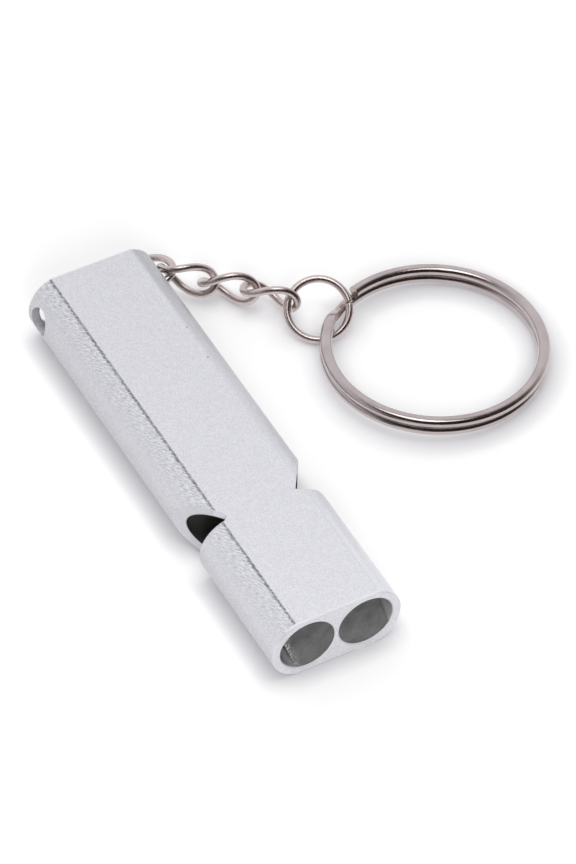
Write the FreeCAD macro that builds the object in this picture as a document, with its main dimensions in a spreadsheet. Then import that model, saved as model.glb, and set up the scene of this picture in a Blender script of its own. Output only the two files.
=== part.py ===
import FreeCAD, Part
import math
import os
import Sketcher

# Twin-tube survival whistle, millimetres, +Z up.
# The origin is the middle of the flat underside, the mouth end looks along -Y,
# and the chain leaves the tail end towards +X.

os.makedirs("parts", exist_ok=True)
doc = FreeCAD.newDocument("survival_whistle")

sizes = {
    # twin-tube body
    "body_length": 51.0,
    "body_thickness": 7.1,
    "tube_outer_radius": 3.77,
    "tube_spacing": 6.24,
    "bore_radius": 2.9,
    "edge_break": 0.12,
    # sound window in the side of each tube
    "window_wall_from_mouth": 14.62,
    "window_tip_from_mouth": 15.1,
    "window_tip_offset": 3.66,
    "window_wall_offset": 4.25,
    "window_reach": 7.6,
    "window_ramp_angle": 31.6,
    # cross hole for the chain
    "cross_hole_radius": 1.45,
    "cross_hole_from_tail": 2.2,
    "cross_hole_height": 4.0,
    # plugs pressed into the bores
    "windway_plug_recess": 0.15,
    "windway_flat_from_axis": 1.95,
    "windway_plug_turn": 18.0,
    "tail_plug_depth": 4.4,
    "tail_plug_length": 2.4,
    "short_chamber_setback": 1.2,
    # chain of oval links, a round ring and a two-turn split ring
    "link_wire_radius": 0.39,
    "link_half_length": 2.92,
    "link_half_width": 1.78,
    "link_twist": -45.3,
    "first_link_half_length": 2.45,
    "first_link_half_width": 1.94,
    "jump_wire_radius": 0.39,
    "jump_ring_radius": 3.12,
    "jump_ring_opening": 3.0,
    "split_half_width": 10.93,
    "split_half_depth": 10.55,
    "split_wire_width": 1.2,
    "split_wire_height": 0.96,
    "split_turn_pitch": 1.0,
    "split_wire_rounding": 0.3,
    "split_start_angle": 110.0,
    "split_end_angle": 137.0,
    "split_step_span": 16.0,
    # where the loose pieces lie: sideways, in from the tail end, and up
    "link_1_x": 6.42,
    "link_1_before_tail": 0.45,
    "link_1_height": 3.04,
    "link_2_x": 9.55,
    "link_2_before_tail": 2.64,
    "link_2_height": 3.00,
    "link_3_x": 12.93,
    "link_3_before_tail": 5.07,
    "link_3_height": 2.15,
    "link_4_x": 16.0,
    "link_4_before_tail": 8.16,
    "link_4_height": 2.39,
    "jump_ring_x": 19.38,
    "jump_ring_before_tail": 11.86,
    "jump_ring_height": 2.02,
    "split_crossing_angle": 125.0,
    "split_crossing_x": 20.93,
    "split_crossing_before_tail": 12.96,
    "split_ring_height": 1.62,
}

sheet = doc.addObject("Spreadsheet::Sheet", "Sizes")
for row, (name, value) in enumerate(sizes.items(), start=1):
    sheet.set(f"A{row}", name)
    sheet.set(f"B{row}", str(value))
    sheet.setAlias(f"B{row}", name)
doc.recompute()


def size(name):
    return float(sheet.get(name))


def point(x, y, z=0.0):
    return FreeCAD.Vector(x, y, z)


def originPlane(body, role):
    return next(item for item in body.Origin.OriginFeatures if item.Role == role)


def newSketch(body, role, label):
    sketch = body.newObject("Sketcher::SketchObject", label)
    sketch.AttachmentSupport = [(originPlane(body, role), "")]
    sketch.MapMode = "FlatFace"
    return sketch


def bind(sketch, kind, places, name, expression):
    # a dimension between two sketch points, tied to the named sizes
    index = sketch.addConstraint(Sketcher.Constraint(kind, *places, 1.0))
    sketch.renameConstraint(index, name)
    sketch.setExpression("Constraints." + name, expression)


# the section of the drawn tube: two round flanks cut flat above and below, two bores
half = size("body_thickness") / 2
flank = size("tube_outer_radius")
offset = size("tube_spacing") / 2
turn = math.asin(half / flank)
crease = offset + math.sqrt(flank ** 2 - half ** 2)
body = doc.addObject("PartDesign::Body", "whistle_body")
body.Label = "whistle_body"
section = newSketch(body, "XZ_Plane", "tube_section")
section.addGeometry([
    Part.LineSegment(point(-crease, 0), point(crease, 0)),
    Part.ArcOfCircle(Part.Circle(point(offset, half), point(0, 0, 1), flank), -turn, turn),
    Part.LineSegment(point(crease, 2 * half), point(-crease, 2 * half)),
    Part.ArcOfCircle(Part.Circle(point(-offset, half), point(0, 0, 1), flank),
                     math.pi - turn, math.pi + turn),
    Part.Circle(point(offset, half), point(0, 0, 1), size("bore_radius")),
    Part.Circle(point(-offset, half), point(0, 0, 1), size("bore_radius")),
], False)
section.addConstraint([
    Sketcher.Constraint("Coincident", 0, 2, 1, 1),
    Sketcher.Constraint("Coincident", 1, 2, 2, 1),
    Sketcher.Constraint("Coincident", 2, 2, 3, 1),
    Sketcher.Constraint("Coincident", 3, 2, 0, 1),
    Sketcher.Constraint("Coincident", 4, 3, 1, 3),
    Sketcher.Constraint("Coincident", 5, 3, 3, 3),
    Sketcher.Constraint("Symmetric", 1, 3, 3, 3, -2),
    Sketcher.Constraint("PointOnObject", 0, 2, -1),
    Sketcher.Constraint("PointOnObject", 0, 1, -1),
    Sketcher.Constraint("Horizontal", 2),
    Sketcher.Constraint("Equal", 1, 3),
    Sketcher.Constraint("Equal", 4, 5),
])
bind(section, "DistanceX", (-1, 1, 1, 3), "flank_centre", "Sizes.tube_spacing / 2")
bind(section, "DistanceY", (-1, 1, 1, 3), "mid_height", "Sizes.body_thickness / 2")
bind(section, "DistanceY", (-1, 1, 2, 1), "thickness", "Sizes.body_thickness")
bind(section, "Radius", (1,), "flank_radius", "Sizes.tube_outer_radius")
bind(section, "Radius", (4,), "bore", "Sizes.bore_radius")
tube = body.newObject("PartDesign::Pad", "twin_tube")
tube.Profile = section
tube.SideType = "Symmetric"
tube.setExpression("Length", "Sizes.body_length")
doc.recompute()

# sound windows: an upright wall on the mouth side and a slanted ramp behind it
mouth = -size("body_length") / 2
tipX = size("window_tip_offset")
wallX = size("window_wall_offset")
reach = size("window_reach")
tipY = mouth + size("window_tip_from_mouth")
wallY = mouth + size("window_wall_from_mouth")
rampY = tipY + (reach - tipX) / math.tan(math.radians(size("window_ramp_angle")))
windows = newSketch(body, "XY_Plane", "window_outlines")
corners = [(tipX, tipY), (wallX, wallY), (reach, wallY), (reach, rampY)]
for side in (1, -1):
    outline = [point(side * x, y) for x, y in corners]
    windows.addGeometry([Part.LineSegment(outline[i], outline[(i + 1) % 4]) for i in range(4)], False)
for first in (0, 4):
    windows.addConstraint([Sketcher.Constraint("Coincident", first + i, 2, first + (i + 1) % 4, 1)
                           for i in range(4)])
windows.addConstraint([Sketcher.Constraint("Symmetric", i, 1, i + 4, 1, -2) for i in range(4)])
for index, name, across, along in (
    (0, "tip", "Sizes.window_tip_offset", "Sizes.window_tip_from_mouth"),
    (1, "wall", "Sizes.window_wall_offset", "Sizes.window_wall_from_mouth"),
    (2, "outer_wall", "Sizes.window_reach", "Sizes.window_wall_from_mouth"),
    (3, "outer_ramp", "Sizes.window_reach", "Sizes.window_tip_from_mouth"
     " + (Sizes.window_reach - Sizes.window_tip_offset) / tan(Sizes.window_ramp_angle * 1 deg)"),
):
    bind(windows, "DistanceX", (-1, 1, index, 1), name + "_across", across)
    bind(windows, "DistanceY", (index, 1, -1, 1), name + "_along", "Sizes.body_length / 2 - (" + along + ")")
windowCut = body.newObject("PartDesign::Pocket", "sound_windows")
windowCut.Profile = windows
windowCut.SideType = "Symmetric"
windowCut.Type = "ThroughAll"
doc.recompute()

# the chain hole drilled from side to side close to the tail end
hole = newSketch(body, "YZ_Plane", "cross_hole_outline")
hole.addGeometry(Part.Circle(point(size("body_length") / 2 - size("cross_hole_from_tail"),
                                   size("cross_hole_height")), point(0, 0, 1),
                             size("cross_hole_radius")), False)
bind(hole, "DistanceX", (-1, 1, 0, 3), "from_middle", "Sizes.body_length / 2 - Sizes.cross_hole_from_tail")
bind(hole, "DistanceY", (-1, 1, 0, 3), "height", "Sizes.cross_hole_height")
bind(hole, "Radius", (0,), "hole", "Sizes.cross_hole_radius")
holeCut = body.newObject("PartDesign::Pocket", "cross_hole")
holeCut.Profile = hole
holeCut.SideType = "Symmetric"
holeCut.Type = "ThroughAll"
doc.recompute()

# every edge of the two cut ends is lightly broken
tolerance = 1e-4
endEdges = [
    f"Edge{index}" for index, edge in enumerate(holeCut.Shape.Edges, start=1)
    if abs(edge.BoundBox.YMax - edge.BoundBox.YMin) < tolerance
    and abs(abs(edge.BoundBox.YMax) + mouth) < tolerance
]
breaks = body.newObject("PartDesign::Chamfer", "end_edge_breaks")
breaks.Base = (holeCut, endEdges)
breaks.setExpression("Size", "Sizes.edge_break")
body.Tip = breaks
doc.recompute()


def plugRod(label, side, start, length):
    # a round rod lying in one bore
    rod = doc.addObject("Part::Cylinder", label)
    rod.Label = label
    rod.Placement = FreeCAD.Placement(point(0, 0), FreeCAD.Rotation(point(1, 0), -90))
    rod.setExpression("Radius", "Sizes.bore_radius")
    rod.setExpression("Height", length)
    rod.setExpression("Placement.Base.x", side + "Sizes.tube_spacing / 2")
    rod.setExpression("Placement.Base.y", start)
    rod.setExpression("Placement.Base.z", "Sizes.body_thickness / 2")
    return rod


# windway plugs: a flat on the outer side leaves the air slot that feeds each window,
# and both plugs sit pressed in a little turned
windwayStart = "-Sizes.body_length / 2 + Sizes.windway_plug_recess"
windwayLength = "Sizes.window_wall_from_mouth - Sizes.windway_plug_recess"
windwayPlugs = []
for label, side, outward in (("right_windway_plug", "", 1), ("left_windway_plug", "-", -1)):
    rod = plugRod(label + "_rod", side, windwayStart, windwayLength)
    slot = doc.addObject("Part::Box", label + "_slot")
    slot.setExpression("Length", "Sizes.bore_radius")
    slot.setExpression("Width", "Sizes.window_wall_from_mouth")
    slot.setExpression("Height", "Sizes.bore_radius * 2")
    acrossTurn = FreeCAD.Rotation(point(0, 1, 0), (1 - outward) * 90 - size("windway_plug_turn"))
    boreAxis = point(outward * offset, mouth + size("windway_plug_recess"), half)
    corner = point(size("windway_flat_from_axis"), 0, -size("bore_radius"))
    slot.Placement = FreeCAD.Placement(boreAxis + acrossTurn.multVec(corner), acrossTurn)
    plug = doc.addObject("Part::Cut", label)
    plug.Label = label
    plug.Base = rod
    plug.Tool = slot
    windwayPlugs.append(plug)

# tail plugs close the two sounding chambers, one a little shorter than the other
tailStart = "Sizes.body_length / 2 - Sizes.tail_plug_depth - Sizes.tail_plug_length"
tailPlugs = [
    plugRod("right_tail_plug", "", tailStart, "Sizes.tail_plug_length"),
    plugRod("left_tail_plug", "-", tailStart + " - Sizes.short_chamber_setback", "Sizes.tail_plug_length"),
]
doc.recompute()


def smoothCurve(centreline, closed=False):
    curve = Part.BSplineCurve()
    curve.interpolate(Points=centreline, PeriodicFlag=closed)
    return curve


def sweptSolid(curve, first, last, profile, upright=False):
    # a wire section carried along one stretch of a smooth centreline
    pipe = Part.BRepOffsetAPI.MakePipeShell(Part.Wire([curve.toShape(first, last)]))
    if upright:
        pipe.setBiNormalMode(point(0, 0, 1))
    else:
        pipe.setFrenetMode(True)
    pipe.add(profile, False, False)
    pipe.build()
    pipe.makeSolid()
    return pipe.shape()


def roundWire(curve, first, last, radius):
    section = Part.Wire([Part.makeCircle(radius, curve.value(first), curve.tangent(first)[0])])
    return sweptSolid(curve, first, last, section)


def ovalLink(halfLength, halfWidth, twist):
    # an oval whose two ends are turned against each other about its long axis
    count = 24
    centreline = []
    for step in range(count):
        angle = 2 * math.pi * step / count
        along = halfLength * math.cos(angle)
        across = halfWidth * math.sin(angle)
        lean = math.radians(twist) * along / halfLength
        centreline.append(point(along, across * math.cos(lean), across * math.sin(lean)))
    curve = smoothCurve(centreline, True)
    first = curve.FirstParameter
    last = curve.LastParameter
    middle = (first + last) / 2
    radius = size("link_wire_radius")
    halves = roundWire(curve, first, middle, radius).fuse(roundWire(curve, middle, last, radius))
    return halves.Solids[0]


def openRing():
    # a round ring of wire cut once
    opening = size("jump_ring_opening")
    ring = Part.makeTorus(size("jump_ring_radius"), size("jump_wire_radius"), point(0, 0), point(0, 0, 1),
                          -180, 180, 360 - opening)
    ring.rotate(point(0, 0), point(0, 0, 1), opening / 2)
    return ring


def roundedStrip(width, height, rounding):
    # rectangle with quarter-round corners, lying in its own XY plane
    flatX = width / 2 - rounding
    flatY = height / 2 - rounding
    edges = []
    for quarter in range(4):
        signX = 1 if quarter in (0, 3) else -1
        signY = 1 if quarter in (0, 1) else -1
        circle = Part.Circle(point(signX * flatX, signY * flatY), point(0, 0, 1), rounding)
        begin = quarter * math.pi / 2
        edges.append(Part.ArcOfCircle(circle, begin, begin + math.pi / 2).toShape())
    sides = [
        Part.LineSegment(point(flatX, height / 2), point(-flatX, height / 2)).toShape(),
        Part.LineSegment(point(-width / 2, flatY), point(-width / 2, -flatY)).toShape(),
        Part.LineSegment(point(-flatX, -height / 2), point(flatX, -height / 2)).toShape(),
        Part.LineSegment(point(width / 2, -flatY), point(width / 2, flatY)).toShape(),
    ]
    ordered = []
    for corner, side in zip(edges, sides):
        ordered += [corner, side]
    return Part.Wire(ordered)


def splitCoil():
    # nearly two flat turns of one strip, stepping from the upper turn to the lower one
    start = size("split_start_angle")
    end = size("split_end_angle") - 720
    stepStart = size("split_end_angle") - 360
    count = 90
    centreline = []
    for step in range(count):
        degrees = start + (end - start) * step / (count - 1)
        share = min(1.0, max(0.0, (stepStart - degrees) / size("split_step_span")))
        level = size("split_turn_pitch") * (0.5 - share * share * (3 - 2 * share))
        angle = math.radians(degrees)
        centreline.append(point(size("split_half_width") * math.cos(angle),
                                size("split_half_depth") * math.sin(angle), level))
    first = math.radians(start)
    outward = point(size("split_half_depth") * math.cos(first),
                    size("split_half_width") * math.sin(first)).normalize()
    width = size("split_wire_width")
    height = size("split_wire_height")
    strip = roundedStrip(width, height, size("split_wire_rounding"))
    turned = FreeCAD.Placement(centreline[0], FreeCAD.Rotation(outward, point(0, 0, 1), point(0, 0), "XYZ"))
    strip.Placement = turned
    curve = smoothCurve(centreline)
    return sweptSolid(curve, curve.FirstParameter, curve.LastParameter, strip, True)


# how each loose piece is turned as it lies: yaw, pitch and roll in degrees
turns = {
    "chain_link_1": (-36.7, -17.7, 6.0),
    "chain_link_2": (-35.1, 19.1, 97.6),
    "chain_link_3": (-44.4, -3.0, 102.6),
    "chain_link_4": (-53.5, -2.7, 126.3),
    "jump_ring": (-18.6, -6.7, 30.7),
    "split_ring": (0.0, 3.1, 0.23),
}


def lyingAt(name, height):
    # a spot given sideways from the middle, in from the tail end, and up
    tail = size("body_length") / 2
    return point(size(name + "_x"), tail - size(name + "_before_tail"), size(height))


# the split ring is set by the spot where the jump ring crosses it
crossing = math.radians(size("split_crossing_angle"))
towardsCrossing = point(size("split_half_width") * math.cos(crossing),
                        size("split_half_depth") * math.sin(crossing))
centres = {
    "chain_link_1": lyingAt("link_1", "link_1_height"),
    "chain_link_2": lyingAt("link_2", "link_2_height"),
    "chain_link_3": lyingAt("link_3", "link_3_height"),
    "chain_link_4": lyingAt("link_4", "link_4_height"),
    "jump_ring": lyingAt("jump_ring", "jump_ring_height"),
    "split_ring": lyingAt("split_crossing", "split_ring_height") - towardsCrossing,
}
commonLink = ovalLink(size("link_half_length"), size("link_half_width"), size("link_twist"))
shapes = {
    "chain_link_1": ovalLink(size("first_link_half_length"), size("first_link_half_width"), 0.0),
    "chain_link_2": commonLink,
    "chain_link_3": commonLink,
    "chain_link_4": commonLink,
    "jump_ring": openRing(),
    "split_ring": splitCoil(),
}
loosePieces = []
for label, turned in turns.items():
    piece = doc.addObject("Part::Feature", label)
    piece.Label = label
    piece.Shape = shapes[label]
    lying = FreeCAD.Placement(centres[label], FreeCAD.Rotation(*turned))
    piece.Placement = lying.multiply(shapes[label].Placement)
    loosePieces.append(piece)
doc.recompute()

for item in doc.Objects:
    if "Invalid" in item.State or "Error" in item.State:
        raise RuntimeError(item.Label + " did not compute")
for node in [body] + windwayPlugs + tailPlugs + loosePieces:
    shape = node.Shape
    if shape.isNull() or not shape.isValid() or len(shape.Solids) != 1:
        raise RuntimeError(node.Label + " is not one sound solid")
    shape.exportStep("parts/" + node.Label + ".step")
    print(node.Label, round(shape.Volume, 2), "mm3")
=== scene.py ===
import math

import bpy
import numpy as np
from mathutils import Matrix, Vector


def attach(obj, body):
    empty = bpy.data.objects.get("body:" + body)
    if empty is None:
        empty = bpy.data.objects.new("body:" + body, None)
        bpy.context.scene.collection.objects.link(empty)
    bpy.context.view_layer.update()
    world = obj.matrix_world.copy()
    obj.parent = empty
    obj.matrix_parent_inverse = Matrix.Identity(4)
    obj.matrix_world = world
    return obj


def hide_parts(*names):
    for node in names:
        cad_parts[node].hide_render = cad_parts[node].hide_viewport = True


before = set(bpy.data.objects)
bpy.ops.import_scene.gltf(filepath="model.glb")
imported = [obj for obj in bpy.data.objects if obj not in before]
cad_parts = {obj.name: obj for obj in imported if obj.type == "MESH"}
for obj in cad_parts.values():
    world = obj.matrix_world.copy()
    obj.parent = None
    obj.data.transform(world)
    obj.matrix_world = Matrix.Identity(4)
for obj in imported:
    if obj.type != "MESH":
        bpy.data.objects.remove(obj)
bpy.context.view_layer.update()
print("stage: frame loaded")

mm = 0.001


# shapes: sections carried along paths, in millimetres until they become a mesh

def turned(yaw, pitch, roll):
    # rotation matrix: yaw about Z, then pitch about the new Y, then roll about the new X
    a, b, c = np.radians([yaw, pitch, roll])
    aboutZ = np.array([[np.cos(a), -np.sin(a), 0], [np.sin(a), np.cos(a), 0], [0, 0, 1]])
    aboutY = np.array([[np.cos(b), 0, np.sin(b)], [0, 1, 0], [-np.sin(b), 0, np.cos(b)]])
    aboutX = np.array([[1, 0, 0], [0, np.cos(c), -np.sin(c)], [0, np.sin(c), np.cos(c)]])
    return aboutZ @ aboutY @ aboutX


def placed(points, lying):
    # lying = centre x, y, z and yaw, pitch, roll: each point is turned, then moved to the centre
    return points @ turned(*lying[3:]).T + np.array(lying[:3])


def unit(vectors):
    # each vector divided by its own length
    return vectors / np.linalg.norm(vectors, axis=-1, keepdims=True)


def sectionFrames(path, closed, up):
    # tangent from the neighbouring points; with a given up, side = tangent x up, and otherwise
    # side = the direction out of the path's middle with its tangent part taken away
    if closed:
        tangent = unit(np.roll(path, -1, 0) - np.roll(path, 1, 0))
    else:
        tangent = unit(np.gradient(path, axis=0))
    if up is not None:
        side = unit(np.cross(tangent, up))
    else:
        outward = path - path.mean(0)
        side = unit(outward - tangent * (outward * tangent).sum(1, keepdims=True))
    return tangent, side, np.cross(side, tangent)


def roundedEnds(path, tangent, side, upward, reach, rounding, steps=4):
    # the path is cut back by the rounding, and smaller sections follow on a quarter circle:
    # size = 1 - rounding (1 - cos) / reach, at a distance of rounding times sin
    quarter = np.linspace(0, math.pi / 2, steps + 1)[1:]
    size = 1 - rounding * (1 - np.cos(quarter)) / reach
    beyond = (rounding * np.sin(quarter))[:, None]
    first = path[0] + tangent[0] * rounding
    last = path[-1] - tangent[-1] * rounding
    keep = slice(2, -2)
    rows = np.vstack([(first - tangent[0] * beyond)[::-1], [first], path[keep],
                      [last], last + tangent[-1] * beyond])
    sizes = np.concatenate([size[::-1], np.ones(len(path) - 2), size])
    sides, upwards = (np.vstack([[row[0]] * (steps + 1), row[keep], [row[-1]] * (steps + 1)])
                      for row in (side, upward))
    return rows, sides, upwards, sizes


def gridFaces(rows, around, closed):
    # face (i, j) joins rows i and i + 1 and columns j and j + 1; an open grid gets two caps
    i = np.arange(rows if closed else rows - 1)[:, None]
    j = np.arange(around)[None]
    nextI = (i + 1) % rows
    nextJ = (j + 1) % around
    corners = (i * around + j, nextI * around + j, nextI * around + nextJ, i * around + nextJ)
    faces = np.stack(np.broadcast_arrays(*corners), -1).reshape(-1, 4).tolist()
    if not closed:
        faces += [list(range(around)), list(range((rows - 1) * around, rows * around))[::-1]]
    return faces


def meshPiece(name, points, faces):
    # object with its points turned from millimetres into metres
    mesh = bpy.data.meshes.new(name)
    mesh.from_pydata((np.asarray(points) * mm).tolist(), [], faces)
    mesh.update()
    piece = bpy.data.objects.new(name, mesh)
    bpy.context.scene.collection.objects.link(piece)
    return piece


def sweep(name, path, section, closed=False, up=None, rounding=0.0):
    # vertex (i, j) = path point i + size i times (section x times side + section y times up)
    tangent, side, upward = sectionFrames(path, closed, up)
    size = np.ones(len(path))
    if not closed:
        path, side, upward, size = roundedEnds(path, tangent, side, upward,
                                               np.abs(section).max(), rounding)
    across = section[None, :, :1] * side[:, None] + section[None, :, 1:] * upward[:, None]
    points = path[:, None] + size[:, None, None] * across
    piece = meshPiece(name, points.reshape(-1, 3), gridFaces(len(path), len(section), closed))
    piece.data.shade_smooth()
    return piece


def roundSection(radius, count):
    # circle: radius times cos and sin of equal steps
    angle = np.linspace(0, 2 * np.pi, count, endpoint=False)
    return radius * np.stack([np.cos(angle), np.sin(angle)], 1)


def stripSection(width, height, rounding, perCorner=7):
    # rectangle with rounded corners: the corner's centre plus the rounding times cos and sin
    turns = (np.arange(4)[:, None] + np.linspace(0, 1, perCorner)) * np.pi / 2
    signX = np.array([1, -1, -1, 1])[:, None]
    signY = np.array([1, 1, -1, -1])[:, None]
    x = signX * (width / 2 - rounding) + rounding * np.cos(turns)
    y = signY * (height / 2 - rounding) + rounding * np.sin(turns)
    return np.stack([x, y], -1).reshape(-1, 2)


def standIn(piece, cadName):
    # the piece rides on the body of the CAD node and takes its place
    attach(piece, cadName)
    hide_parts(cadName)


# chain links

chain = {
    "wireRadius": 0.39, "halfLength": 2.92, "halfWidth": 1.78, "twist": -45.3,
    "firstHalfLength": 2.45, "firstHalfWidth": 1.94,
    "along": 144, "around": 32,  # points along a link and around its wire
    "lying": {
        "chain_link_1": (6.42, 25.05, 3.04, -36.7, -17.7, 6.0),
        "chain_link_2": (9.55, 22.86, 3.00, -35.1, 19.1, 97.6),
        "chain_link_3": (12.93, 20.43, 2.15, -44.4, -3.0, 102.6),
        "chain_link_4": (16.00, 17.34, 2.39, -53.5, -2.7, 126.3),
    },
}


def ovalPath(halfLength, halfWidth, twist, count):
    # x = a cos t, y = b sin t, turned about the long axis by twist times x / a
    t = np.linspace(0, 2 * np.pi, count, endpoint=False)
    lean = np.radians(twist) * np.cos(t)
    y = halfWidth * np.sin(t)
    return np.stack([halfLength * np.cos(t), y * np.cos(lean), y * np.sin(lean)], 1)


wire = roundSection(chain["wireRadius"], chain["around"])
flatOval = ovalPath(chain["firstHalfLength"], chain["firstHalfWidth"], 0, chain["along"])
twistedOval = ovalPath(chain["halfLength"], chain["halfWidth"], chain["twist"], chain["along"])
links = []
for linkName, lying in chain["lying"].items():
    oval = flatOval if linkName == "chain_link_1" else twistedOval
    link = sweep(linkName + "_wire", placed(oval, lying), wire, closed=True)
    standIn(link, linkName)
    links.append(link)
print("stage: chain links")


# jump ring and split ring

jumpRing = {
    "radius": 3.12, "wireRadius": 0.39, "opening": 3.0, "endRounding": 0.05,
    "along": 200, "around": 36,
    "lying": (19.38, 13.64, 2.02, -18.6, -6.7, 30.7),
}

splitRing = {
    "halfWidth": 10.93, "halfDepth": 10.55, "wireWidth": 1.2, "wireHeight": 0.96, "pitch": 1.0,
    "rounding": 0.475, "start": 110.0, "end": 137.0, "stepSpan": 16.0, "endRounding": 0.06,
    "along": 900,
    "lying": (27.20, 3.90, 1.62, 0.0, 3.1, 0.23),
}


def arcPath(radius, opening, count):
    # circle left open by the given angle about the +X direction
    t = np.radians(np.linspace(opening / 2, 360 - opening / 2, count))
    return np.stack([radius * np.cos(t), radius * np.sin(t), 0 * t], 1)


def coilPath(ring):
    # an oval walked clockwise nearly twice, dropping one pitch by a smooth step 3 s^2 - 2 s^3
    angle = np.linspace(ring["start"], ring["end"] - 720, ring["along"])
    share = np.clip((ring["end"] - 360 - angle) / ring["stepSpan"], 0, 1)
    level = ring["pitch"] * (0.5 - share * share * (3 - 2 * share))
    t = np.radians(angle)
    return np.stack([ring["halfWidth"] * np.cos(t), ring["halfDepth"] * np.sin(t), level], 1)


arc = arcPath(jumpRing["radius"], jumpRing["opening"], jumpRing["along"])
jump = sweep("jump_ring_wire", placed(arc, jumpRing["lying"]),
             roundSection(jumpRing["wireRadius"], jumpRing["around"]),
             rounding=jumpRing["endRounding"])
standIn(jump, "jump_ring")

strip = stripSection(splitRing["wireWidth"], splitRing["wireHeight"], splitRing["rounding"])
ringAxis = turned(*splitRing["lying"][3:])[:, 2]
split = sweep("split_ring_strip", placed(coilPath(splitRing), splitRing["lying"]), strip,
              up=ringAxis, rounding=splitRing["endRounding"])
standIn(split, "split_ring")
print("stage: rings")


# shader helpers: each adds a node and gives back what it puts out

def newMaterial(name):
    # material with its tree and its Principled surface
    material = bpy.data.materials.new(name)
    material.use_nodes = True
    return material, material.node_tree, material.node_tree.nodes["Principled BSDF"]


def feed(tree, socket, value):
    # a socket takes either another node's output or a plain value
    if isinstance(value, bpy.types.NodeSocket):
        tree.links.new(value, socket)
    else:
        socket.default_value = value


def node(tree, kind, **inputs):
    # one shader node with its inputs fed by name
    made = tree.nodes.new(kind)
    for key, value in inputs.items():
        feed(tree, made.inputs[key.replace("_", " ")], value)
    return made


def calc(tree, operation, *values):
    # one number worked out of others
    made = tree.nodes.new("ShaderNodeMath")
    made.operation = operation
    for socket, value in zip(made.inputs, values):
        feed(tree, socket, value)
    return made.outputs[0]


def product(tree, first, *others):
    # all the values multiplied together
    for value in others:
        first = calc(tree, "MULTIPLY", first, value)
    return first


def between(tree, value, low, high, atLow=0.0, atHigh=1.0):
    # runs straight from atLow to atHigh while the value goes from low to high, and stays there
    made = node(tree, "ShaderNodeMapRange", Value=value)
    keys = ("From Min", "From Max", "To Min", "To Max")
    for key, number in zip(keys, (low, high, atLow, atHigh)):
        made.inputs[key].default_value = number
    return made.outputs["Result"]


def where(tree, share, tone):
    # 1 where the share is 0 and the tone where it is 1: share (tone - 1) + 1
    return calc(tree, "MULTIPLY_ADD", share, calc(tree, "SUBTRACT", tone, 1.0), 1.0)


def blend(tree, share, first, second):
    # colour or grey: first where the share is 0, second where it is 1
    made = tree.nodes.new("ShaderNodeMix")
    made.data_type = "RGBA"
    # the sockets of the colour kind are the seventh and eighth, and its output is the third
    for place, value in ((0, share), (6, first), (7, second)):
        feed(tree, made.inputs[place], value)
    return made.outputs[2]


def grey(level):
    # colour with the same level in red, green and blue
    return (level, level, level, 1)


def noise(tree, place, scale, detail, roughness):
    # soft random pattern around 0.5
    made = node(tree, "ShaderNodeTexNoise", Vector=place, Scale=scale, Detail=detail,
                Roughness=roughness)
    return made.outputs["Fac"]


def objectPlace(tree):
    # place in metres in the part's own frame, whole and as x, y and z
    place = tree.nodes.new("ShaderNodeTexCoord").outputs["Object"]
    x, y, z = node(tree, "ShaderNodeSeparateXYZ", Vector=place).outputs
    return place, x, y, z


# body: blasted satin aluminium

body = {
    "halfLength": 25.5, "height": 7.1, "boreX": 3.12, "boreRadius": 2.9, "flankRadius": 3.77,
    "flankMargin": (0.03, 0.01), "boreMargin": (0.05, 0.02),  # how near counts as on the surface
    "fade": 0.1,  # soft border of a change across the metal
}
body["boreZ"] = body["height"] / 2
# the flank's circle about the bore meets the flat top in a crease
body["creaseX"] = body["boreX"] + math.sqrt(body["flankRadius"] ** 2 - body["boreZ"] ** 2)

satin = {
    "colour": (0.785, 0.79, 0.832, 1), "metallic": 0.45, "roughness": 0.4,
    "brightest": 1.2,  # highest tone that keeps the colour below 1
    "grain": {"scale": 8500, "tone": (0.85, 1.12), "strength": 0.3, "depth": 0.03},
    "mottle": {"scale": 2600, "tone": (0.97, 1.03)},
    # painted light: the body brighter towards the mouth and dimmer towards the tail
    "mouthTone": 1.05, "tailTone": 0.965,
    "sawn": 0.87, "sawnFromEnd": 1.0,  # tone of the cut faces of the sound windows
    # painted shade and light along the right flank, and where they change, in half lengths of the body
    "right": {"tail": 0.76, "middle": 0.98, "mouth": 1.2,
              "tailSpan": (0.25, 0.8), "mouthSpan": (-0.8, -0.2)},
    # painted shade: the left flank darkens where it turns under, standing in for the dark contact shadow
    # it reflects
    "under": 0.8, "underShadeSpan": (3.2, 6.0),  # tone of the left flank where it turns under
}
folds = {
    "scale": 7600, "stretch": 0.22, "lean": 30.0, "tone": (0.72, 1.14),
    "span": (5.6, 6.9), "lowShare": 0.25,  # heights over which the folds fade downwards
    "strength": 0.4, "depth": 0.06,
}
# painted shade: a dark line along the left crease standing in for a grazing reflection; the specks are
# real marks
creaseShadeAndSpecks = {
    "outside": 0.08, "width": (0.05, 0.2), "wander": 0.13, "tone": 0.12, "scale": 4200,
    "specks": ((4.44, 13.26), (4.37, 8.72)), "speckRadius": (0.06, 0.12),
}
# painted light and shade: the bores lighter near the mouth and darker deeper in, and highlights on the
# edges and bore rims
boreAndEdgePaintedLight = {
    "bore": 0.8, "chamberShade": 0.22, "chamberFrom": -13.5, "chamberTo": -11.5,
    "edge": (0.93, 0.94, 0.98, 1), "edgeWidth": 0.2, "edgeSpan": (6.3, 6.9), "lowShare": 0.1,
    "boreShare": 0.8, "besideBore": 0.35, "rimWidth": 0.18,
    "skin": (0.003, 0.012),  # distance in from an end that tells the end face from what is beside it
}


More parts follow.
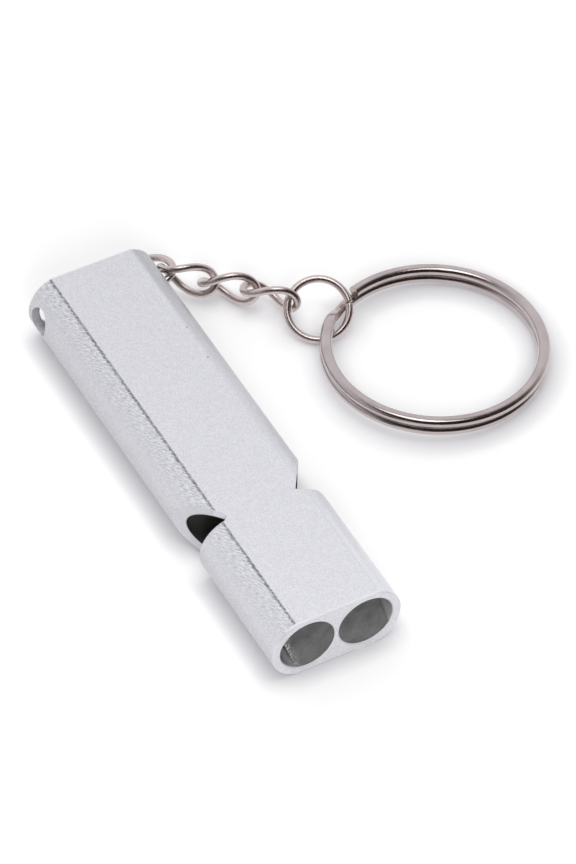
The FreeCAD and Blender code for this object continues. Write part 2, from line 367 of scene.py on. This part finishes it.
def flankMap(tree, x, y, z):
    # distances in metres: across and upward from the near bore's axis, the radius about it, and
    # the way in from the nearer end; onFlank is 1 on the round flanks
    across = calc(tree, "SUBTRACT", calc(tree, "ABSOLUTE", x), body["boreX"] * mm)
    upward = calc(tree, "SUBTRACT", z, body["boreZ"] * mm)
    radius = calc(tree, "SQRT", calc(tree, "ADD", product(tree, across, across),
                                     product(tree, upward, upward)))
    fromEnd = calc(tree, "SUBTRACT", body["halfLength"] * mm, calc(tree, "ABSOLUTE", y))
    near, far = (body["flankRadius"] - margin for margin in body["flankMargin"])
    onFlank = between(tree, radius, near * mm, far * mm)
    return across, upward, radius, fromEnd, onFlank


def grainAndPaintedLight(tree, place, y, grain):
    # grain times mottle times painted light that runs from brighter at the mouth to dimmer at the tail
    half = body["halfLength"] * mm
    mottle = noise(tree, place, satin["mottle"]["scale"], 3, 0.6)
    return product(tree, between(tree, grain, 0.32, 0.68, *satin["grain"]["tone"]),
                   between(tree, mottle, 0.3, 0.7, *satin["mottle"]["tone"]),
                   between(tree, y, -half, half, satin["mouthTone"], satin["tailTone"]))


def sawnTone(tree, across, fromEnd, onFlank):
    # the faces cut for the two sound windows: outside the creases, off the flanks, not the ends
    outside = body["creaseX"] - body["boreX"]
    fade = body["fade"]
    share = product(tree, calc(tree, "SUBTRACT", 1.0, onFlank),
                    between(tree, across, outside * mm, (outside + fade) * mm),
                    between(tree, fromEnd, satin["sawnFromEnd"] * mm, (satin["sawnFromEnd"] + fade) * mm))
    return where(tree, share, satin["sawn"])


def rightFlankPaintedShade(tree, x, y, onFlank):
    # painted shade: the right flank greys towards the chain, whose shadow and reflection fall there, and
    # painted light makes it brightest at the mouth
    right = satin["right"]
    share = product(tree, onFlank, between(tree, x, body["creaseX"] * mm, (body["creaseX"] + 0.4) * mm))
    halfWay = calc(tree, "DIVIDE", y, body["halfLength"] * mm)
    tone = product(tree, between(tree, halfWay, *right["tailSpan"], right["middle"], right["tail"]),
                   between(tree, halfWay, *right["mouthSpan"], right["mouth"], 1.0))
    return where(tree, share, tone)


def leaningFolds(tree, across, upward, y):
    # noise drawn out along a direction that drops down the flank while it runs to the tail;
    # the way down = - angle about the bore times the flank's radius
    down = calc(tree, "MULTIPLY", calc(tree, "ARCTAN2", upward, across), -body["flankRadius"] * mm)
    sine = math.sin(math.radians(folds["lean"]))
    cosine = math.cos(math.radians(folds["lean"]))
    along = calc(tree, "MULTIPLY_ADD", down, sine, calc(tree, "MULTIPLY", y, cosine))
    aside = calc(tree, "MULTIPLY_ADD", down, cosine, calc(tree, "MULTIPLY", y, -sine))
    drawnOut = calc(tree, "MULTIPLY", along, folds["stretch"])
    flat = node(tree, "ShaderNodeCombineXYZ", X=drawnOut, Y=aside)
    return noise(tree, flat.outputs["Vector"], folds["scale"], 1, 0.5)


def creaseShadeAndSpeckShare(tree, place, x, z, onFlank, pattern, ragged):
    # painted shade: a dark line beside the left crease, standing in for the grazing reflection on the
    # crease's rounding, wandering by the ragged noise and broken by the folds, and a few real dark specks
    # along the right crease
    wander = between(tree, ragged, 0.3, 0.7, -creaseShadeAndSpecks["wander"] * mm, creaseShadeAndSpecks["wander"] * mm)
    lineX = (body["creaseX"] + creaseShadeAndSpecks["outside"]) * mm
    off = calc(tree, "ABSOLUTE", calc(tree, "ADD", calc(tree, "ADD", x, lineX), wander))
    near, far = creaseShadeAndSpecks["width"]
    share = product(tree, between(tree, off, near * mm, far * mm, 0.95, 0.0), onFlank,
                    between(tree, z, (body["height"] - 0.3) * mm, (body["height"] - 0.2) * mm),
                    between(tree, pattern, 0.35, 0.6, 1.0, 0.55))
    near, far = creaseShadeAndSpecks["speckRadius"]
    for speckX, speckY in creaseShadeAndSpecks["specks"]:
        gap = node(tree, "ShaderNodeVectorMath", Vector=place)
        gap.operation = "DISTANCE"
        gap.inputs[1].default_value = (speckX * mm, speckY * mm, body["height"] * mm)
        speck = between(tree, gap.outputs["Value"], near * mm, far * mm, 0.8, 0.0)
        share = calc(tree, "MAXIMUM", share, speck)
    return share


def edgeHighlightShare(tree, z, radius, fromEnd, ragged):
    # painted highlights: bright strips beside the ends, most at the top where the light falls and about
    # the bores, and uneven bright rims of the bores on the end faces
    bore = body["boreRadius"]
    fade = body["fade"]
    face, beside = boreAndEdgePaintedLight["skin"]
    low, high = boreAndEdgePaintedLight["edgeSpan"]
    width, around, rimWidth = (boreAndEdgePaintedLight[key] for key in ("edgeWidth", "besideBore", "rimWidth"))
    strip = product(tree, between(tree, fromEnd, face * mm, beside * mm),
                    between(tree, fromEnd, width * mm, (width + 0.02) * mm, 1.0, 0.0))
    atTop = between(tree, z, low * mm, high * mm, boreAndEdgePaintedLight["lowShare"], 1.0)
    aboutBore = between(tree, radius, (bore + around) * mm, (bore + around - fade) * mm,
                        0.0, boreAndEdgePaintedLight["boreShare"])
    strip = product(tree, strip, calc(tree, "MAXIMUM", atTop, aboutBore))
    rim = product(tree, between(tree, radius, (bore + rimWidth) * mm, (bore + rimWidth - 0.08) * mm),
                  between(tree, ragged, 0.4, 0.6, 0.25, 1.0),
                  between(tree, fromEnd, beside * mm, face * mm))
    return calc(tree, "MAXIMUM", strip, rim)


def satinAluminium():
    # colour times tone (with painted light and shade), then the painted shade line, the bores' painted
    # light and shade and the painted edge highlights laid over it
    material, tree, surface = newMaterial("satin_aluminium")
    place, x, y, z = objectPlace(tree)
    across, upward, radius, fromEnd, onFlank = flankMap(tree, x, y, z)
    grain = noise(tree, place, satin["grain"]["scale"], 2, 0.7)
    ragged = noise(tree, place, creaseShadeAndSpecks["scale"], 3, 0.75)
    pattern = leaningFolds(tree, across, upward, y)

    crease, fade = body["creaseX"], body["fade"]
    leftFlank = product(tree, onFlank, between(tree, x, -crease * mm, -(crease + fade) * mm))
    low, high = folds["span"]
    foldShare = product(tree, leftFlank, between(tree, z, low * mm, high * mm, folds["lowShare"], 1.0))
    # painted shade low on the left flank
    low, high = satin["underShadeSpan"]
    under = between(tree, z, low * mm, high * mm, satin["under"], 1.0)
    tone = product(tree, grainAndPaintedLight(tree, place, y, grain),
                   sawnTone(tree, across, fromEnd, onFlank),
                   rightFlankPaintedShade(tree, x, y, onFlank),
                   where(tree, leftFlank, under),
                   where(tree, foldShare, between(tree, pattern, 0.34, 0.66, *folds["tone"])))
    lit = node(tree, "ShaderNodeVectorMath", Vector=satin["colour"][:3])
    lit.operation = "SCALE"
    feed(tree, lit.inputs["Scale"], calc(tree, "MINIMUM", tone, satin["brightest"]))

    shadeLineAndSpecks = creaseShadeAndSpeckShare(tree, place, x, z, onFlank, pattern, ragged)
    edge = edgeHighlightShare(tree, z, radius, fromEnd, ragged)
    far, near = (body["boreRadius"] + margin for margin in body["boreMargin"])
    inBore = between(tree, radius, far * mm, near * mm)
    # painted light in the bore near the mouth, fading to painted shade deeper in the chamber
    boreLightAndShade = between(tree, y, boreAndEdgePaintedLight["chamberFrom"] * mm, boreAndEdgePaintedLight["chamberTo"] * mm,
                      boreAndEdgePaintedLight["bore"], boreAndEdgePaintedLight["chamberShade"])
    # the painted shade line along the left crease, and the real specks, darken the colour
    colour = blend(tree, shadeLineAndSpecks, lit.outputs["Vector"], grey(creaseShadeAndSpecks["tone"]))
    colour = blend(tree, inBore, colour, boreLightAndShade)
    feed(tree, surface.inputs["Base Color"], blend(tree, edge, colour, boreAndEdgePaintedLight["edge"]))
    matt = calc(tree, "MAXIMUM", inBore, edge)
    feed(tree, surface.inputs["Metallic"], between(tree, matt, 0.0, 1.0, satin["metallic"], 0.0))
    surface.inputs["Roughness"].default_value = satin["roughness"]

    # the grain, and the folds on the left flank, also stand out a little
    fine = node(tree, "ShaderNodeBump", Strength=satin["grain"]["strength"],
                Distance=satin["grain"]["depth"] * mm, Height=grain)
    coarse = node(tree, "ShaderNodeBump", Strength=folds["strength"], Distance=folds["depth"] * mm,
                  Height=product(tree, pattern, foldShare), Normal=fine.outputs["Normal"])
    feed(tree, surface.inputs["Normal"], coarse.outputs["Normal"])
    return material


# plugs: dull dark metal

plugLook = {
    "tone": 0.13, "roughness": 0.5, "specular": 0.3,
    "cloudScale": 520, "cloud": (0.68, 1.32),
    # painted shade, deepening from the bottom of the plug face to the top
    "lowTone": 1.3, "highTone": 0.76, "span": (1.5, 5.5),  # tones low and high, and their heights
    "scratchScale": 1500, "scratchSquash": 3.5, "scratchShare": 0.175,
    "burr": 0.75, "burrScale": 2600,  # bright ragged metal by the left plug's flat
    "flatX": -4.95, "flatLean": 0.3, "burrReach": (1.6, 0.7),
}


def dullPlug(look):
    # tone = clouds times painted shade that deepens towards the top of the recessed plug; faint scratches
    # and the burr are brighter
    material, tree, surface = newMaterial("dull_plug")
    place, x, y, z = objectPlace(tree)
    cloud = between(tree, noise(tree, place, look["cloudScale"], 4, 0.65), 0.32, 0.68, *look["cloud"])
    low, high = look["span"]
    tone = product(tree, cloud, between(tree, z, low * mm, high * mm, look["lowTone"], look["highTone"]),
                   look["tone"])
    drawn = node(tree, "ShaderNodeMapping", Vector=place, Scale=(1, 1, look["scratchSquash"]))
    streaks = noise(tree, drawn.outputs["Vector"], look["scratchScale"], 2, 0.7)
    scratch = between(tree, streaks, 0.66, 0.74, 0.0, look["scratchShare"])
    fromFlat = calc(tree, "MULTIPLY_ADD", z, look["flatLean"], x)
    far, near = look["burrReach"]
    speckle = between(tree, noise(tree, place, look["burrScale"], 3, 0.7), 0.46, 0.6)
    burr = product(tree, speckle, between(tree, fromFlat, (look["flatX"] + far) * mm,
                                          (look["flatX"] + near) * mm))
    share = calc(tree, "MAXIMUM", scratch, burr)
    feed(tree, surface.inputs["Base Color"], blend(tree, share, tone, grey(look["burr"])))
    surface.inputs["Roughness"].default_value = look["roughness"]
    surface.inputs["Specular IOR Level"].default_value = look["specular"]
    return material


# chain and rings: warm bright plating

plating = {
    "chain": {"colour": (0.65, 0.565, 0.545), "roughness": 0.28},
    "ring": {"colour": (0.54, 0.475, 0.47), "roughness": 0.18},
    "darker": 0.88, "cloudScale": 420, "unevenScale": 1200, "strength": 0.12, "depth": 0.04,
}


def platedSteel(kind):
    # colour clouded between itself and a darker one; roughness and a faint bump follow a noise
    material, tree, surface = newMaterial("plated_" + kind)
    place = objectPlace(tree)[0]
    colour = plating[kind]["colour"]
    roughness = plating[kind]["roughness"]
    dark = tuple(plating["darker"] * level for level in colour)
    uneven = noise(tree, place, plating["unevenScale"], 3, 0.6)
    cloudy = between(tree, noise(tree, place, plating["cloudScale"], 2, 0.5), 0.35, 0.65)
    feed(tree, surface.inputs["Base Color"], blend(tree, cloudy, (*dark, 1), (*colour, 1)))
    surface.inputs["Metallic"].default_value = 1
    feed(tree, surface.inputs["Roughness"],
         between(tree, uneven, 0.3, 0.7, 0.8 * roughness, 1.3 * roughness))
    bump = node(tree, "ShaderNodeBump", Strength=plating["strength"], Distance=plating["depth"] * mm,
                Height=uneven)
    feed(tree, surface.inputs["Normal"], bump.outputs["Normal"])
    return material


def dress(piece, material):
    # the material takes the place of all that the piece had
    piece.data.materials.clear()
    piece.data.materials.append(material)


dress(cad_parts["whistle_body"], satinAluminium())
dull = dullPlug(plugLook)
for plugName in ("left_windway_plug", "right_windway_plug", "left_tail_plug", "right_tail_plug"):
    dress(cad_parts[plugName], dull)
chainSteel = platedSteel("chain")
for piece in (*links, jump):
    dress(piece, chainSteel)
dress(split, platedSteel("ring"))
print("stage: finishes")


# floor, light and camera

floorLook = {
    "half": 1200, "below": 0.02,
    "sheet": (0.7, 0.7, 0.705, 1), "glow": 0.45,
    "shade": (0.40, 0.395, 0.43, 1), "under": (0.30, 0.296, 0.32, 1),  # glow and sheet where shaded
    "reach": 2.7, "fall": 1.4, "samples": 8,
}


def whiteFloor(look):
    # a wide matt sheet with a little light of its own for what the camera and mirrors see, and a
    # soft shade close under the piece: openness to the power of the fall, for the camera alone
    half, level = look["half"], -look["below"]
    corners = [(-half, -half, level), (half, -half, level), (half, half, level), (-half, half, level)]
    floor = meshPiece("floor", corners, [(0, 1, 2, 3)])
    material, tree, surface = newMaterial("white_sheet")
    occlusion = node(tree, "ShaderNodeAmbientOcclusion", Distance=look["reach"] * mm)
    occlusion.samples = look["samples"]
    rays = tree.nodes.new("ShaderNodeLightPath").outputs
    lighter = calc(tree, "POWER", occlusion.outputs["AO"], look["fall"])
    lighter = calc(tree, "MAXIMUM", lighter, calc(tree, "SUBTRACT", 1.0, rays["Is Camera Ray"]))
    feed(tree, surface.inputs["Base Color"], blend(tree, lighter, look["under"], look["sheet"]))
    surface.inputs["Roughness"].default_value = 1.0
    surface.inputs["Specular IOR Level"].default_value = 0.0
    seen = calc(tree, "MAXIMUM", calc(tree, "MAXIMUM", rays["Is Camera Ray"], rays["Is Glossy Ray"]),
                rays["Is Transmission Ray"])
    glow = node(tree, "ShaderNodeEmission", Color=blend(tree, lighter, look["shade"], grey(1.0)),
                Strength=product(tree, seen, look["glow"]))
    both = tree.nodes.new("ShaderNodeAddShader")
    feed(tree, both.inputs[0], surface.outputs["BSDF"])
    feed(tree, both.inputs[1], glow.outputs["Emission"])
    feed(tree, tree.nodes["Material Output"].inputs["Surface"], both.outputs["Shader"])
    dress(floor, material)


lamps = {
    "over": {"place": (0.02, -0.04, 0.9), "size": 0.5, "power": 2.2, "mirrored": True},
    "front": {"place": (-0.25, -0.64, 0.44), "size": 0.3, "power": 3.0, "mirrored": False},
}
lampAim = (0.01, 0, 0)


def softbox(name, lamp):
    # square area light that faces the part; mirrored says whether shiny pieces show it
    data = bpy.data.lights.new(name, "AREA")
    data.size = lamp["size"]
    data.energy = lamp["power"]
    made = bpy.data.objects.new(name, data)
    made.location = lamp["place"]
    made.visible_glossy = lamp["mirrored"]
    towards = Vector(lampAim) - Vector(lamp["place"])
    made.rotation_euler = towards.to_track_quat("-Z", "Y").to_euler()
    bpy.context.scene.collection.objects.link(made)


tent = {
    # the dark side of the room, as a direction, and the light against how squarely it is faced
    "darkSide": (0.05, -0.72, 0.69),
    "levels": ((-1.0, (1.0, 1.0, 1.02)), (0.15, (0.98, 0.98, 1.01)), (0.32, (0.75, 0.74, 0.75)),
               (0.50, (0.28, 0.26, 0.25)), (0.68, (0.05, 0.043, 0.04)), (1.0, (0.03, 0.026, 0.025))),
    "leftLight": 0.8, "leftFrom": -0.8, "leftTo": -0.25,
    "horizon": 0.4, "horizonTop": 0.12, "strength": 0.98,
}


def tentWorld(look):
    # light of a direction = ramp over its dot product with the dark side, less towards the left
    # and towards the horizon
    world = bpy.data.worlds.new("tent")
    bpy.context.scene.world = world
    world.use_nodes = True
    tree = world.node_tree
    background = tree.nodes["Background"]
    direction = tree.nodes.new("ShaderNodeTexCoord").outputs["Generated"]
    facing = node(tree, "ShaderNodeVectorMath", Vector=direction)
    facing.operation = "DOT_PRODUCT"
    facing.inputs[1].default_value = look["darkSide"]
    ramp = tree.nodes.new("ShaderNodeValToRGB")
    stops = ramp.color_ramp.elements
    while len(stops) < len(look["levels"]):
        stops.new(0.5)
    for stop, (squareness, colour) in zip(stops, look["levels"]):
        stop.position = (squareness + 1) / 2
        stop.color = (*colour, 1)
    feed(tree, ramp.inputs["Fac"], calc(tree, "MULTIPLY_ADD", facing.outputs["Value"], 0.5, 0.5))
    x, y, z = node(tree, "ShaderNodeSeparateXYZ", Vector=direction).outputs
    level = product(tree, between(tree, x, look["leftFrom"], look["leftTo"], look["leftLight"], 1.0),
                    between(tree, z, 0.0, look["horizonTop"], look["horizon"], 1.0), look["strength"])
    feed(tree, background.inputs["Color"], ramp.outputs["Color"])
    feed(tree, background.inputs["Strength"], level)


camera = {
    "place": (-0.162363, -0.306440, 0.383573),
    "right": (0.87936, -0.47602, 0.01164),
    "down": (-0.34326, -0.65067, -0.67735),
    "lens": 221.98, "sensor": 36, "nearest": 0.01,
}


def addCamera(view):
    # up is made square to right, and back = right x up; the three are the columns of the turn
    right = unit(np.array(view["right"]))
    up = -np.array(view["down"])
    up = unit(up - right * (up @ right))
    back = np.cross(right, up)
    data = bpy.data.cameras.new("camera")
    data.lens = view["lens"]
    data.sensor_width = view["sensor"]
    data.clip_start = view["nearest"]
    made = bpy.data.objects.new("camera", data)
    turn = Matrix(np.stack([right, up, back], 1).tolist()).to_4x4()
    made.matrix_world = Matrix.Translation(view["place"]) @ turn
    bpy.context.scene.collection.objects.link(made)
    bpy.context.scene.camera = made


whiteFloor(floorLook)
tentWorld(tent)
for lampName, lamp in lamps.items():
    softbox(lampName, lamp)
addCamera(camera)
bpy.context.scene.view_settings.view_transform = "Standard"

print("stage: scene ready")
